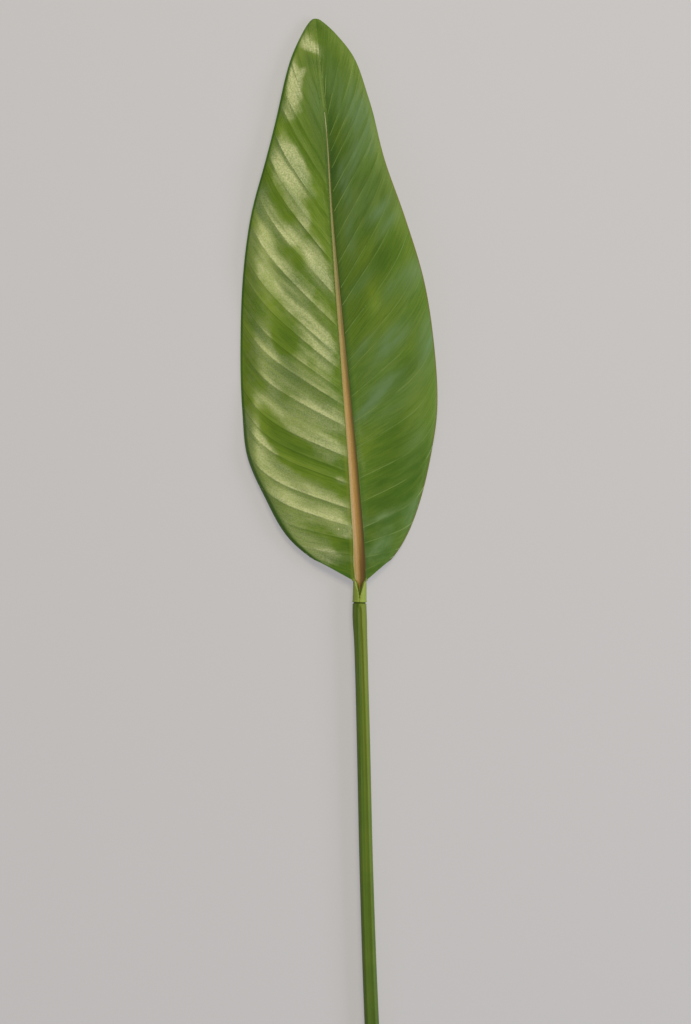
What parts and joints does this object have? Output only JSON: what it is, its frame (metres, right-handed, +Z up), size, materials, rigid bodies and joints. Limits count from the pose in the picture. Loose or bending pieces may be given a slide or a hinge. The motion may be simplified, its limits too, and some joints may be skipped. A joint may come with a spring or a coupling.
{
  "type": "bird of paradise leaf",
  "caption": "Large cut leaf lying on its underside: a long oval blade pleated along its side veins, a tan channelled midrib and a round grooved stalk with a notched collar.",
  "frame": {"origin": "middle of the leaf's box, at the height of the surface that the leaf lies on", "axes": "+Y along the leaf towards its tip, +Z up from the surface, out of the blade's upper side, and +X to the right seen from above with the tip away"},
  "size_m": [0.1404, 0.801, 0.0214],
  "materials": {
    "blade_green": "waxy, leathery leaf surface, mid green, satin sheen, paler and duller below",
    "midrib_tan": "smooth tan rib, satin",
    "stalk_green": "fibrous green stalk with fine lengthwise lines, satin"
  },
  "bodies": {
    "root": {"blade": "blade_green", "midrib": "midrib_tan", "petiole": "stalk_green"}
  },
  "joints": []
}
